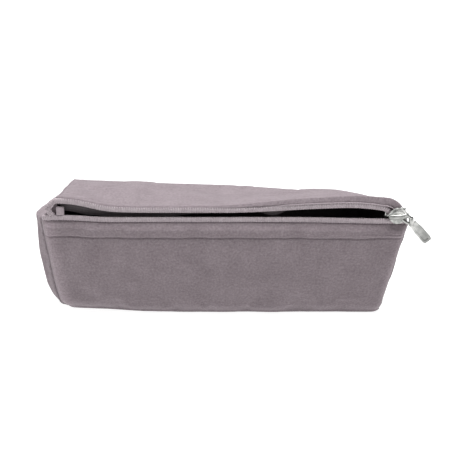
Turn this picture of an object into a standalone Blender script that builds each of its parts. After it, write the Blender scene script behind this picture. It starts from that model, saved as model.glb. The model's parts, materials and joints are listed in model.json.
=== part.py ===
"""Soft zip pouch for folded glasses: an outer felt shell, foam, lining, a coil zip and its slider.

Metres, +Z up, +X along the pouch to its right end, +Y to its back. The origin is on the floor, in the
middle of the base panel. Every sub-part is one closed solid with a gap of about 0.3 mm to the next.
"""

import math

import bmesh
import bpy
from mathutils import Matrix, Vector

# Driving dimensions
GAP = 0.0003
OUTER = 0.0012
FOAM = 0.0015
GUSSET_LAYER = 0.0010
LINING = 0.0005

BASE_LEFT = -0.084
BASE_RIGHT = 0.082
BASE_BACK = 0.046
FRONT_FLARE_LEFT = 0.011
FRONT_FLARE_RIGHT = 0.010
BACK_FLARE_LEFT = 0.002
BACK_FLARE_RIGHT = -0.003
FLARE_HEIGHT = 0.056
EAR = 0.0030
BULGE = 0.0015

FRONT_TOP = 0.0523
BACK_TOP = 0.0538
ROOF_FRONT_Z = 0.0640
ROOF_BACK_Z = 0.0556
ROOF_FRONT_Y = 0.0002
FLAP_LEFT = -0.074
FLAP_RIGHT = 0.0775
FLAP_BOTTOM = 0.0020

CREASE_Y = 0.0454
CREASE_Z = 0.0542
CLOSING_ANGLE = math.radians(2.8)

COIL_HEIGHT = 0.0032
COIL_DEPTH = 0.0019
COIL_FRONT_Y = -0.0006
FRONT_COIL_Z = 0.0528
BACK_COIL_Z = 0.0594
COIL_LEFT = -0.0890
COIL_RIGHT = 0.0935
BACK_COIL_RIGHT = 0.0810
TAPE = 0.0005
TAPE_Y = 0.0016

SLIDER_X = 0.0880
SLIDER_Z = 0.0567
SLIDER_LENGTH = 0.0110
SLIDER_WIDTH = 0.0092
REAR_PLATE_WIDTH = 0.0064
PLATE = 0.0011
FRONT_PLATE_Y = -0.0025
REAR_PLATE_Y = 0.0025
POST_WIDTH = 0.0008
BAIL_WIRE = 0.00055
BAIL_LEFT = SLIDER_X - 0.0028
BAIL_RIGHT = SLIDER_X + 0.0038
BAIL_Y = -0.00485

PULL_PIVOT = Vector((0.0902, -0.0034, 0.0569))
PULL_DROOP = math.radians(40)
RING_WIRE = 0.00055
RING_LENGTH = 0.0066
RING_WIDTH = 0.0054
COLLAR_RADIUS = 0.0016
COLLAR_BORE = 0.0009
COLLAR_LENGTH = 0.0034
TAB_LENGTH = 0.0140
TAB_WIDTH = 0.0042
TAB_THICKNESS = 0.0011


def start_empty_scene():
    for old in list(bpy.data.objects):
        bpy.data.objects.remove(old, do_unlink=True)
    root = bpy.context.scene.collection
    parts = bpy.data.collections.new("glasses_pouch")
    cutters = bpy.data.collections.new("cutters")
    root.children.link(parts)
    root.children.link(cutters)
    return parts, cutters


PARTS, CUTTERS = start_empty_scene()


def make_material(name, colour, roughness, metallic=0.0):
    material = bpy.data.materials.new(name)
    material.use_nodes = True
    shader = material.node_tree.nodes["Principled BSDF"]
    shader.inputs["Base Color"].default_value = (*colour, 1.0)
    shader.inputs["Roughness"].default_value = roughness
    shader.inputs["Metallic"].default_value = metallic
    return material


FELT = dict(colour=(0.20, 0.17, 0.19), roughness=0.95)
CLOTH = dict(colour=(0.035, 0.033, 0.036), roughness=0.85)
FOAM_LOOK = dict(colour=(0.55, 0.54, 0.52), roughness=1.0)
TAPE_LOOK = dict(colour=(0.13, 0.11, 0.12), roughness=0.85)
COIL_LOOK = dict(colour=(0.33, 0.29, 0.30), roughness=0.50)
METAL = dict(colour=(0.62, 0.62, 0.63), roughness=0.32, metallic=1.0)


def link_part(name, mesh, look, smooth=True):
    part = bpy.data.objects.new(name, mesh)
    PARTS.objects.link(part)
    mesh.materials.clear()
    mesh.materials.append(make_material(name, **look))
    if smooth:
        mesh.shade_smooth()
        mesh.set_sharp_from_angle(angle=math.radians(35))
    return part


def lerp(a, b, t):
    return a + (b - a) * t


# Outer faces of the shell ------------------------------------------------------------------------


def ear_swell(y, z):
    """The side walls swell outward under each end of the mouth."""
    along = math.exp(-((y - 0.011) / 0.008) ** 2)
    up = math.exp(-((z - 0.047) / 0.012) ** 2)
    return EAR * along * up


def left_x(y, z):
    flare = lerp(FRONT_FLARE_LEFT, BACK_FLARE_LEFT, y / BASE_BACK)
    return BASE_LEFT - flare * z / FLARE_HEIGHT - ear_swell(y, z)


def right_x(y, z):
    flare = lerp(FRONT_FLARE_RIGHT, BACK_FLARE_RIGHT, y / BASE_BACK)
    return BASE_RIGHT + flare * z / FLARE_HEIGHT + ear_swell(y, z)


def front_y(z):
    return -BULGE * math.sin(math.pi * min(z / FRONT_TOP, 1.0))


def back_y(z):
    return BASE_BACK + 0.7 * BULGE * math.sin(math.pi * min(z / BACK_TOP, 1.0))


def roof_z(y):
    return lerp(ROOF_FRONT_Z, ROOF_BACK_Z, (y - ROOF_FRONT_Y) / (BASE_BACK - ROOF_FRONT_Y))


def make_panel(name, point, steps, thickness, outward, look):
    """A grid laid on an outer face, point(u, v) with u and v from 0 to 1, thickened inward."""
    mesh = bpy.data.meshes.new(name)
    bm = bmesh.new()
    bmesh.ops.create_grid(bm, x_segments=steps[0], y_segments=steps[1], size=0.5)
    for vert in bm.verts:
        vert.co = Vector(point(vert.co.x + 0.5, vert.co.y + 0.5))
    bm.normal_update()
    facing = sum((face.normal for face in bm.faces), Vector())
    if facing.dot(Vector(outward)) < 0:
        bmesh.ops.reverse_faces(bm, faces=bm.faces)
    bm.to_mesh(mesh)
    bm.free()
    part = link_part(name, mesh, look)
    wall = part.modifiers.new("wall", "SOLIDIFY")
    wall.thickness = thickness
    wall.offset = -1.0
    wall.use_even_offset = True
    return part


def base_wall(name, inset, thickness, look):
    margin = inset + (GAP if inset else 0.0)

    def point(u, v):
        y = lerp(margin, BASE_BACK - margin, v)
        return (lerp(BASE_LEFT + margin, BASE_RIGHT - margin, u), y, inset)

    make_panel(name, point, (4, 2), thickness, (0, 0, -1), look)


def front_wall(name, inset, thickness, look, left, right, bottom, top):
    """left and right are x positions, or None for the flared side edge of the shell."""

    def point(u, v):
        z = lerp(bottom, top, v)
        y = front_y(z) + inset
        low = left_x(0, z) + inset if left is None else left
        high = right_x(0, z) - inset if right is None else right
        return (lerp(low, high, u), y, z)

    make_panel(name, point, (3, 12), thickness, (0, -1, 0), look)


def back_wall(name, inset, thickness, look):
    bottom = inset + thickness + GAP

    def point(u, v):
        z = lerp(bottom, BACK_TOP - inset * 0.6, v)
        y = back_y(z) - inset
        return (lerp(left_x(y, z) + inset, right_x(y, z) - inset, u), y, z)

    make_panel(name, point, (3, 12), thickness, (0, 1, 0), look)


def gusset_top(y, inset):
    lid_drop = (CREASE_Y - y) * math.sin(CLOSING_ANGLE)
    under_roof = roof_z(y) - OUTER - 2 * GAP - lid_drop
    return min(under_roof, 0.0505 + 0.35 * y) - 0.5 * inset


def side_wall(name, inset, thickness, look, left):
    bottom = inset + FOAM + GAP
    margin = inset + FOAM + GAP

    def point(u, v):
        middle = lerp(margin, BASE_BACK - margin, u)
        z = lerp(bottom, gusset_top(middle, inset), v)
        y = lerp(front_y(z) + margin, back_y(z) - margin, u)
        x = left_x(y, z) + inset if left else right_x(y, z) - inset
        return (x, y, z)

    make_panel(name, point, (12, 14), thickness, (-1 if left else 1, 0, 0), look)


def roof_wall(name, inset, thickness, look, front, back, side_margin):
    def point(u, v):
        y = lerp(front, back, v)
        low = left_x(y, FLARE_HEIGHT) + side_margin
        high = right_x(y, FLARE_HEIGHT) - side_margin
        return (lerp(low, high, u), y, roof_z(y) - inset)

    make_panel(name, point, (3, 8), thickness, (0, 0, 1), look)


def build_shell():
    foam_inset = OUTER + GAP
    lining_inset = OUTER + FOAM + 2 * GAP
    layers = (("panel", 0.0, OUTER, FELT), ("foam", foam_inset, FOAM, FOAM_LOOK),
              ("lining", lining_inset, LINING, CLOTH))
    front_tops = {"panel": FRONT_TOP, "foam": 0.0390, "lining": 0.0480}
    for layer, inset, thickness, look in layers:
        base_wall("base_" + layer, inset, thickness, look)
        back_wall("back_" + layer, inset, thickness, look)
        side_thickness = min(thickness, GUSSET_LAYER)
        side_wall("left_gusset_" + layer, inset, side_thickness, look, left=True)
        side_wall("right_gusset_" + layer, inset, side_thickness, look, left=False)
        bottom = max(FLAP_BOTTOM, inset + thickness + GAP)
        front_wall("front_" + layer, inset, thickness, look, FLAP_LEFT, FLAP_RIGHT, bottom, front_tops[layer])
    front_wall("front_left_end", 0.0, OUTER, FELT, None, FLAP_LEFT - GAP, OUTER + GAP, FRONT_TOP)
    front_wall("front_right_end", 0.0, OUTER, FELT, FLAP_RIGHT + GAP, None, OUTER + GAP, FRONT_TOP)
    roof_wall("roof_panel", 0.0, OUTER, FELT, ROOF_FRONT_Y, BASE_BACK, 0.0)
    roof_wall("roof_foam", foam_inset, FOAM, FOAM_LOOK, 0.0120, BASE_BACK - 0.0060, 0.0075)
    roof_wall("roof_lining", lining_inset, LINING, CLOTH, 0.0090, BASE_BACK - 0.0060, 0.0075)


# Zip ---------------------------------------------------------------------------------------------


def make_block(name, low, high, look, round_off):
    """A block between two corners with its edges rounded."""
    low, high = Vector(low), Vector(high)
    mesh = bpy.data.meshes.new(name)
    bm = bmesh.new()
    bmesh.ops.create_cube(bm, size=1.0)
    bmesh.ops.scale(bm, vec=high - low, verts=bm.verts)
    bmesh.ops.translate(bm, vec=(low + high) / 2, verts=bm.verts)
    bm.to_mesh(mesh)
    bm.free()
    part = link_part(name, mesh, look)
    if round_off:
        edge = part.modifiers.new("rounding", "BEVEL")
        edge.width = round_off
        edge.segments = 3
        edge.limit_method = "ANGLE"
    return part


def build_zip():
    coil_back_y = COIL_FRONT_Y + COIL_DEPTH
    spans = (("front_coil_left", COIL_LEFT, FLAP_LEFT - GAP), ("front_coil", FLAP_LEFT, FLAP_RIGHT),
             ("front_coil_right", FLAP_RIGHT + GAP, COIL_RIGHT))
    for name, left, right in spans:
        low = (left, COIL_FRONT_Y, FRONT_COIL_Z)
        high = (right, coil_back_y, FRONT_COIL_Z + COIL_HEIGHT)
        make_block(name, low, high, COIL_LOOK, 0.0005)
    tape_spans = (("front_tape_left", COIL_LEFT, FLAP_LEFT - GAP), ("front_tape", FLAP_LEFT, FLAP_RIGHT),
                  ("front_tape_right", FLAP_RIGHT + GAP, COIL_RIGHT - 0.0066))
    for name, left, right in tape_spans:
        make_block(name, (left, TAPE_Y, 0.0400), (right, TAPE_Y + TAPE, 0.0550), TAPE_LOOK, 0)
    coil_low = (COIL_LEFT, COIL_FRONT_Y, BACK_COIL_Z)
    coil_high = (BACK_COIL_RIGHT, coil_back_y, BACK_COIL_Z + COIL_HEIGHT)
    make_block("back_coil", coil_low, coil_high, COIL_LOOK, 0.0005)
    tape_high = roof_z(TAPE_Y + TAPE) - OUTER - GAP
    make_block("back_tape", (COIL_LEFT, TAPE_Y, BACK_COIL_Z + 0.0010),
               (BACK_COIL_RIGHT, TAPE_Y + TAPE, tape_high), TAPE_LOOK, 0)
    stop_left = COIL_LEFT - GAP - 0.0022
    for name, bottom in (("front_top_stop", FRONT_COIL_Z), ("back_top_stop", BACK_COIL_Z)):
        low = (stop_left, COIL_FRONT_Y - 0.0002, bottom + 0.0002)
        high = (COIL_LEFT - GAP, coil_back_y + 0.0004, bottom + COIL_HEIGHT - 0.0006)
        make_block(name, low, high, METAL, 0.0004)
    stop = SLIDER_X + SLIDER_LENGTH / 2 + 0.0012
    make_block("bottom_stop", (stop, -0.0010, SLIDER_Z - 0.0030), (stop + 0.0020, 0.0019, SLIDER_Z + 0.0030),
               METAL, 0.0005)
    make_block("right_tape_end", (stop - 0.0010, 0.0022, SLIDER_Z - 0.0070),
               (stop + 0.0032, 0.0027, SLIDER_Z + 0.0045), TAPE_LOOK, 0)
    make_block("left_tape_end", (-0.0870, 0.0046, 0.0510), (-0.0815, 0.0060, 0.0590), TAPE_LOOK, 0.0003)


# Slider and its pull -----------------------------------------------------------------------------


def mesh_from_curve(name, curve):
    """A filled curve as a closed mesh with its caps welded."""
    holder = bpy.data.objects.new(name + "_curve", curve)
    CUTTERS.objects.link(holder)
    graph = bpy.context.evaluated_depsgraph_get()
    mesh = bpy.data.meshes.new_from_object(holder.evaluated_get(graph))
    bpy.data.objects.remove(holder, do_unlink=True)
    bm = bmesh.new()
    bm.from_mesh(mesh)
    bmesh.ops.remove_doubles(bm, verts=bm.verts, dist=0.000002)
    bm.to_mesh(mesh)
    bm.free()
    return mesh


def outline_mesh(name, outline, thickness, place):
    """A flat outline of (x, y) points made a plate, then moved by the matrix place."""
    curve = bpy.data.curves.new(name, "CURVE")
    curve.dimensions = "2D"
    curve.fill_mode = "BOTH"
    curve.extrude = thickness / 2
    spline = curve.splines.new("POLY")
    spline.points.add(len(outline) - 1)
    for point, (x, y) in zip(spline.points, outline):
        point.co = (x, y, 0, 1)
    spline.use_cyclic_u = True
    mesh = mesh_from_curve(name, curve)
    mesh.transform(place)
    return mesh


def wire_mesh(name, points, radius, closed, place=Matrix()):
    curve = bpy.data.curves.new(name, "CURVE")
    curve.dimensions = "3D"
    curve.bevel_depth = radius
    curve.bevel_resolution = 2
    curve.use_fill_caps = not closed
    spline = curve.splines.new("POLY")
    spline.points.add(len(points) - 1)
    for point, co in zip(spline.points, points):
        point.co = (*co, 1)
    spline.use_cyclic_u = closed
    mesh = mesh_from_curve(name, curve)
    mesh.transform(place)
    return mesh


def add_cutter(name, mesh):
    cutter = bpy.data.objects.new(name, mesh)
    CUTTERS.objects.link(cutter)
    cutter.hide_render = True
    cutter.display_type = "WIRE"
    return cutter


def apply_boolean(part, other, operation):
    modifier = part.modifiers.new(other.name, "BOOLEAN")
    modifier.operation = operation
    modifier.solver = "EXACT"
    modifier.object = other


def arc(centre, radius, start, end, steps):
    """Points of a circular arc in a plane, angles in degrees."""
    turn = [math.radians(lerp(start, end, i / steps)) for i in range(steps + 1)]
    return [(centre[0] + radius * math.cos(a), centre[1] + radius * math.sin(a)) for a in turn]


def shield_outline(length, width):
    """Slider plate seen from the front: a blunt nose to the left, wide shoulders and a narrow tail."""
    nose = -length / 2
    tail = length / 2
    shoulder = width / 2
    tail_half = 0.30 * width
    corner = 0.0012
    top = arc((nose + 0.0040, shoulder - corner), corner, 125, 55, 3)
    top += arc((tail - corner, tail_half - corner), corner, 70, 0, 3)
    bottom = [(x, -y) for x, y in reversed(top)]
    nose_arc = arc((nose + 0.0008, 0), 0.0008, 230, 130, 3)
    return top[::-1] + nose_arc[::-1] + bottom[::-1]


def plane_xz(x, y, z):
    """Lays a flat outline in the XZ plane, its own z towards the front."""
    return Matrix.Translation((x, y, z)) @ Matrix.Rotation(math.pi / 2, 4, "X")


def build_slider():
    front = outline_mesh("slider_body", shield_outline(SLIDER_LENGTH, SLIDER_WIDTH), PLATE,
                         plane_xz(SLIDER_X, FRONT_PLATE_Y + PLATE / 2, SLIDER_Z))
    body = link_part("slider_body", front, METAL)
    rear = outline_mesh("rear_plate", shield_outline(SLIDER_LENGTH + 0.0010, REAR_PLATE_WIDTH), PLATE - 0.0001,
                        plane_xz(SLIDER_X - 0.0004, REAR_PLATE_Y + PLATE / 2, SLIDER_Z))
    post_length = REAR_PLATE_Y - FRONT_PLATE_Y
    post = bpy.data.meshes.new("slider_post")
    bm = bmesh.new()
    bmesh.ops.create_cube(bm, size=1.0)
    bmesh.ops.scale(bm, vec=(0.0026, post_length, POST_WIDTH), verts=bm.verts)
    centre = (SLIDER_X - SLIDER_LENGTH / 2 + 0.0026, (REAR_PLATE_Y + FRONT_PLATE_Y + PLATE) / 2, SLIDER_Z)
    bmesh.ops.translate(bm, vec=centre, verts=bm.verts)
    bm.to_mesh(post)
    bm.free()
    apply_boolean(body, add_cutter("post_join", post), "UNION")
    apply_boolean(body, add_cutter("rear_plate_join", rear), "UNION")

    foot = FRONT_PLATE_Y - GAP
    bend = 0.0014
    left = [(BAIL_LEFT, foot)] + arc((BAIL_LEFT + bend, BAIL_Y + bend), bend, 180, 270, 5)
    right = arc((BAIL_RIGHT - bend, BAIL_Y + bend), bend, 270, 360, 5) + [(BAIL_RIGHT, foot)]
    arch = [(x, y, SLIDER_Z) for x, y in left + right]
    link_part("slider_bail", wire_mesh("slider_bail", arch, BAIL_WIRE, closed=False), METAL)


def pull_frame():
    """A frame at the ring's inner bar: x along the pull, y across it, z towards the front."""
    along = Vector((math.cos(PULL_DROOP), 0, -math.sin(PULL_DROOP)))
    front = Vector((0, -1, 0))
    across = front.cross(along)
    turn = Matrix((along, across, front)).transposed().to_4x4()
    return Matrix.Translation(PULL_PIVOT) @ turn


def build_pull():
    place = pull_frame()
    half = RING_WIDTH / 2
    bend = 0.0010
    loop = arc((bend, half - bend), bend, 90, 180, 4) + arc((bend, bend - half), bend, 180, 270, 4)
    loop += arc((RING_LENGTH - bend, bend - half), bend, 270, 360, 4)
    loop += arc((RING_LENGTH - bend, half - bend), bend, 0, 90, 4)
    ring_points = [(x, y, 0) for x, y in loop]
    ring = link_part("pull_ring", wire_mesh("pull_ring", ring_points, RING_WIRE, True, place), METAL)

    half = TAB_WIDTH / 2
    start = RING_LENGTH + COLLAR_BORE + 0.0003
    end = RING_LENGTH + TAB_LENGTH
    blade = [(start, -0.0013), (start, 0.0013)][::-1]
    blade += [(start + 0.0022, -0.0014), (start + 0.0034, -half)]
    blade += arc((end - half, 0), half, -90, 90, 10)
    blade += [(start + 0.0034, half), (start + 0.0022, 0.0014)]
    mesh = outline_mesh("pull_tab", blade, TAB_THICKNESS, place)
    tab = link_part("pull_tab", mesh, METAL)
    for name, radius, length, operation in (("collar_join", COLLAR_RADIUS, COLLAR_LENGTH, "UNION"),
                                            ("collar_bore", COLLAR_BORE, COLLAR_LENGTH + 0.002, "DIFFERENCE")):
        barrel = bpy.data.meshes.new(name)
        bm = bmesh.new()
        upright = Matrix.Rotation(math.pi / 2, 4, "X")
        bmesh.ops.create_cone(bm, cap_ends=True, segments=24, radius1=radius, radius2=radius, depth=length,
                              matrix=place @ Matrix.Translation((RING_LENGTH, 0, 0)) @ upright)
        bm.to_mesh(barrel)
        bm.free()
        apply_boolean(tab, add_cutter(name, barrel), operation)
    for piece, offset in ((ring, 0.0), (tab, RING_LENGTH)):
        centre = place @ Vector((offset, 0, 0))
        piece.data.transform(Matrix.Translation(-centre))
        piece.location = centre


build_shell()
build_zip()
build_slider()
build_pull()
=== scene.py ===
import json
import math
import bmesh
import bpy
import numpy as np
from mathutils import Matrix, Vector, noise


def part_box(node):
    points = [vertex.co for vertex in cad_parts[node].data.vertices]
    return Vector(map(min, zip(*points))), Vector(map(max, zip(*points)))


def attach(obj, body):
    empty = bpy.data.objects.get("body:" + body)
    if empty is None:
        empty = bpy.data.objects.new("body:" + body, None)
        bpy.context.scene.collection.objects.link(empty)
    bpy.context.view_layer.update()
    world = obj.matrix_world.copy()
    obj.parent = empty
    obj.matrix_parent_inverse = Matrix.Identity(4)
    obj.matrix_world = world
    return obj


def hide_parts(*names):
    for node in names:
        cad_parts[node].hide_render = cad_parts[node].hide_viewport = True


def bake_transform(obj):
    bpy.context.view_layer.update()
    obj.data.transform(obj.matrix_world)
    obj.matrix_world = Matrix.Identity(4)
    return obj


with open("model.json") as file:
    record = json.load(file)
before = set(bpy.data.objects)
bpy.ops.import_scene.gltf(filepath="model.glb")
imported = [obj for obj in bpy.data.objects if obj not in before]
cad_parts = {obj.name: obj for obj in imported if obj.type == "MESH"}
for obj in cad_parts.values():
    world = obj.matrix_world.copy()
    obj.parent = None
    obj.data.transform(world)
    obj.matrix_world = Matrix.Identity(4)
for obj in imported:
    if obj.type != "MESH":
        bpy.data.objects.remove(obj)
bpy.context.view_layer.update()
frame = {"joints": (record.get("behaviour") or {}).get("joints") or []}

mm = 0.001
scene = bpy.context.scene


# Camera, floor and light

studio = {
    "distance": 0.605,
    "elevation": 25.0,
    "lookAt": (0.0005, 0.020, 0.0428),
    "stand": (0.0005, 0.020, 0.0292),  # the distance and the elevation are taken from here
    "lens": 90.0,
    "floorWidth": 6.0,
    "floorGlow": 0.90,
    "skyLight": 0.20,
    "lights": (  # name, place, aim, width and power of each
        ("keyLight", (0.05, 0.06, 1.18), (0, 0.02, 0.03), 0.9, 25.0),
        ("fillLight", (0.55, -0.95, 0.55), (0, 0.0, 0.03), 0.8, 1.6),
        ("sideLight", (-1.10, -0.10, 0.45), (-0.05, 0.02, 0.03), 0.7, 4.6),
    ),
}


def lightTowards(name, place, aim, width, power):
    lamp = bpy.data.lights.new(name, "AREA")
    lamp.shape = "DISK"
    lamp.size = width
    lamp.energy = power
    obj = bpy.data.objects.new(name, lamp)
    obj.location = place
    obj.rotation_euler = (Vector(aim) - Vector(place)).to_track_quat("-Z", "Y").to_euler()
    scene.collection.objects.link(obj)


def makeStudio():
    tilt = math.radians(studio["elevation"])
    stand = Vector(studio["stand"])
    place = stand + studio["distance"] * Vector((0, -math.cos(tilt), math.sin(tilt)))
    camera = bpy.data.cameras.new("studioCamera")
    camera.lens = studio["lens"]
    camera.sensor_width = 36.0
    camera.clip_start = 0.01
    cameraObj = bpy.data.objects.new("studioCamera", camera)
    cameraObj.location = place
    aim = Vector(studio["lookAt"]) - place
    cameraObj.rotation_euler = aim.to_track_quat("-Z", "Y").to_euler()
    scene.collection.objects.link(cameraObj)
    scene.camera = cameraObj

    for light in studio["lights"]:
        lightTowards(*light)

    world = bpy.data.worlds.new("studioWorld")
    world.use_nodes = True
    background = world.node_tree.nodes["Background"]
    background.inputs["Color"].default_value = (1, 1, 1, 1)
    background.inputs["Strength"].default_value = studio["skyLight"]
    scene.world = world
    scene.view_settings.view_transform = "Standard"

    bpy.ops.object.select_all(action="DESELECT")
    bpy.ops.mesh.primitive_plane_add(size=studio["floorWidth"], location=(0, 0, -0.0003))
    floor = bpy.context.object
    floor.name = "studioFloor"
    bpy.ops.object.transform_apply(location=True, rotation=True, scale=True)
    paper = bpy.data.materials.new("whitePaper")
    paper.use_nodes = True
    shader = paper.node_tree.nodes["Principled BSDF"]
    shader.inputs["Base Color"].default_value = (0.32, 0.32, 0.32, 1)
    shader.inputs["Roughness"].default_value = 0.9
    shader.inputs["Emission Color"].default_value = (1, 1, 1, 1)
    shader.inputs["Emission Strength"].default_value = studio["floorGlow"]
    floor.data.materials.append(paper)


makeStudio()
print("studio ready")


# Materials

class Nodes:  # a short way to add and join a material's nodes
    def __init__(self, name):
        self.material = bpy.data.materials.new(name)
        self.material.use_nodes = True
        self.tree = self.material.node_tree
        self.shader = self.tree.nodes["Principled BSDF"]

    def add(self, kind, **values):
        node = self.tree.nodes.new("ShaderNode" + kind)
        for key, value in values.items():
            if key.startswith("in_"):
                node.inputs[key[3:].replace("_", " ")].default_value = value
            else:
                setattr(node, key, value)
        return node

    def join(self, source, sourceSocket, target, targetSocket):
        self.tree.links.new(source.outputs[sourceSocket], target.inputs[targetSocket])

    def place(self, scale):  # the piece's own flat map in metres, stretched
        start = self.add("UVMap", uv_map="cut")
        mapping = self.add("Mapping")
        mapping.inputs["Scale"].default_value = scale
        self.join(start, "UV", mapping, "Vector")
        return mapping

    def objectPlace(self, scale):
        start = self.add("TexCoord")
        mapping = self.add("Mapping")
        mapping.inputs["Scale"].default_value = scale
        self.join(start, "Object", mapping, "Vector")
        return mapping

    def ramp(self, source, socket, stops):
        node = self.add("ValToRGB")
        band = node.color_ramp
        while len(band.elements) < len(stops):
            band.elements.new(0.5)
        for element, (at, colour) in zip(band.elements, stops):
            element.position = at
            element.color = (*colour, 1)
        self.join(source, socket, node, "Fac")
        return node

    def bump(self, source, socket, strength, distance, before=None):
        node = self.add("Bump", in_Strength=strength, in_Distance=distance)
        self.join(source, socket, node, "Height")
        if before:
            self.join(before, "Normal", node, "Normal")
        return node


feltLook = {
    "dark": (0.146, 0.119, 0.131),
    "mid": (0.198, 0.165, 0.179),
    "pale": (0.252, 0.215, 0.231),
    "roughness": 0.93,
    "sheen": 0.22,
    "pile": 0.00022,  # height of the brushed fibres
    "plain": 0.70,
    "cornerHighlight": 0.92,  # against plain, how pale the painted highlight down the front wall's sides is
    "frontWidth": 0.188,  # the front wall's own flat width
}


def feltMaterial(name, highlightWidth=None):  # a wall this wide, in metres, gets a painted highlight down both sides
    n = Nodes(name)
    flat = n.place((1, 1, 1))
    blotch = n.add("TexNoise", in_Scale=95.0, in_Detail=3.0, in_Roughness=0.55)
    grain = n.add("TexNoise", in_Scale=900.0, in_Detail=5.0, in_Roughness=0.72)
    streakPlace = n.place((420, 1500, 1))
    streak = n.add("TexNoise", in_Scale=1.0, in_Detail=4.0, in_Roughness=0.6, in_Distortion=1.2)
    n.join(flat, "Vector", blotch, "Vector")
    n.join(flat, "Vector", grain, "Vector")
    n.join(streakPlace, "Vector", streak, "Vector")
    mix = n.add("Math", operation="MULTIPLY_ADD")
    mix.inputs[1].default_value = 0.62
    n.join(grain, "Fac", mix, 0)
    soften = n.add("Math", operation="MULTIPLY")
    soften.inputs[1].default_value = 0.16
    n.join(blotch, "Fac", soften, 0)
    n.join(soften, "Value", mix, 2)
    total = n.add("Math", operation="MULTIPLY_ADD")
    total.inputs[1].default_value = 0.22
    n.join(streak, "Fac", total, 0)
    n.join(mix, "Value", total, 2)
    tones = [(0.38, feltLook["dark"]), (0.50, feltLook["mid"]), (0.62, feltLook["pale"])]
    colour = n.ramp(total, "Value", tones)
    # painted highlight: the colour is made paler in narrow strips near both sides, where the rounded corners
    # catch the light
    if highlightWidth:
        side = n.add("SeparateXYZ")
        n.join(flat, "Vector", side, "Vector")
        share = n.add("Math", operation="DIVIDE")
        share.inputs[1].default_value = highlightWidth
        n.join(side, "X", share, 0)
        plain, paintedLight = feltLook["plain"], feltLook["cornerHighlight"]
        stops = [(0.0, plain), (0.014, paintedLight), (0.026, paintedLight), (0.055, plain)]
        stops += [(0.955, plain), (0.982, paintedLight), (1.0, plain)]
        highlightRamp = n.ramp(share, "Value", [(at, (tone, tone, tone)) for at, tone in stops])
        fade = n.add("VectorMath", operation="MULTIPLY")
        n.join(colour, "Color", fade, 0)
        n.join(highlightRamp, "Color", fade, 1)
        brighter = n.add("VectorMath", operation="SCALE", in_Scale=1 / plain)
        n.join(fade, "Vector", brighter, "Vector")
        n.join(brighter, "Vector", n.shader, "Base Color")
    else:
        n.join(colour, "Color", n.shader, "Base Color")
    soft = n.bump(blotch, "Fac", 0.35, 0.0009)
    fibres = n.bump(grain, "Fac", 0.55, feltLook["pile"], soft)
    brushed = n.bump(streak, "Fac", 0.35, feltLook["pile"], fibres)
    n.join(brushed, "Normal", n.shader, "Normal")
    n.shader.inputs["Roughness"].default_value = feltLook["roughness"]
    n.shader.inputs["Specular IOR Level"].default_value = 0.18
    n.shader.inputs["Sheen Weight"].default_value = feltLook["sheen"]
    n.shader.inputs["Sheen Roughness"].default_value = 0.55
    n.shader.inputs["Sheen Tint"].default_value = (0.86, 0.80, 0.83, 1)
    return n.material


def wovenMaterial(name, low, high, threads, depth, roughness, sheen):
    n = Nodes(name)
    flat = n.place((1, 1, 1))
    warp = n.add("TexWave", wave_type="BANDS", bands_direction="X", in_Scale=threads)
    weft = n.add("TexWave", wave_type="BANDS", bands_direction="Y", in_Scale=threads)
    slub = n.add("TexNoise", in_Scale=threads * 1.4, in_Detail=3.0)
    for node in (warp, weft, slub):
        n.join(flat, "Vector", node, "Vector")
    weave = n.add("Math", operation="MULTIPLY")
    n.join(warp, "Fac", weave, 0)
    n.join(weft, "Fac", weave, 1)
    tone = n.add("Math", operation="MULTIPLY_ADD")
    tone.inputs[1].default_value = 0.45
    n.join(slub, "Fac", tone, 0)
    half = n.add("Math", operation="MULTIPLY")
    half.inputs[1].default_value = 0.55
    n.join(weave, "Value", half, 0)
    n.join(half, "Value", tone, 2)
    colour = n.ramp(tone, "Value", [(0.15, low), (0.75, high)])
    n.join(colour, "Color", n.shader, "Base Color")
    relief = n.bump(weave, "Value", 0.6, depth)
    n.join(relief, "Normal", n.shader, "Normal")
    n.shader.inputs["Roughness"].default_value = roughness
    n.shader.inputs["Sheen Weight"].default_value = sheen
    n.shader.inputs["Specular IOR Level"].default_value = 0.25
    return n.material


def threadMaterial(name, low, high, gloss):
    n = Nodes(name)
    place = n.objectPlace((1, 1, 1))
    twist = n.add("TexWave", wave_type="BANDS", bands_direction="DIAGONAL", in_Scale=900.0, in_Distortion=0.6)
    mottle = n.add("TexNoise", in_Scale=420.0, in_Detail=2.0)
    n.join(place, "Vector", twist, "Vector")
    n.join(place, "Vector", mottle, "Vector")
    colour = n.ramp(mottle, "Fac", [(0.3, low), (0.7, high)])
    n.join(colour, "Color", n.shader, "Base Color")
    relief = n.bump(twist, "Fac", 0.3, 0.00008)
    n.join(relief, "Normal", n.shader, "Normal")
    n.shader.inputs["Roughness"].default_value = gloss
    n.shader.inputs["Specular IOR Level"].default_value = 0.35
    return n.material


paintedShadeRun = {"from": 0.0975, "to": 0.1060}  # along X, where a finish is painted darker towards the pull's hanging end: painted shade


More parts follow.
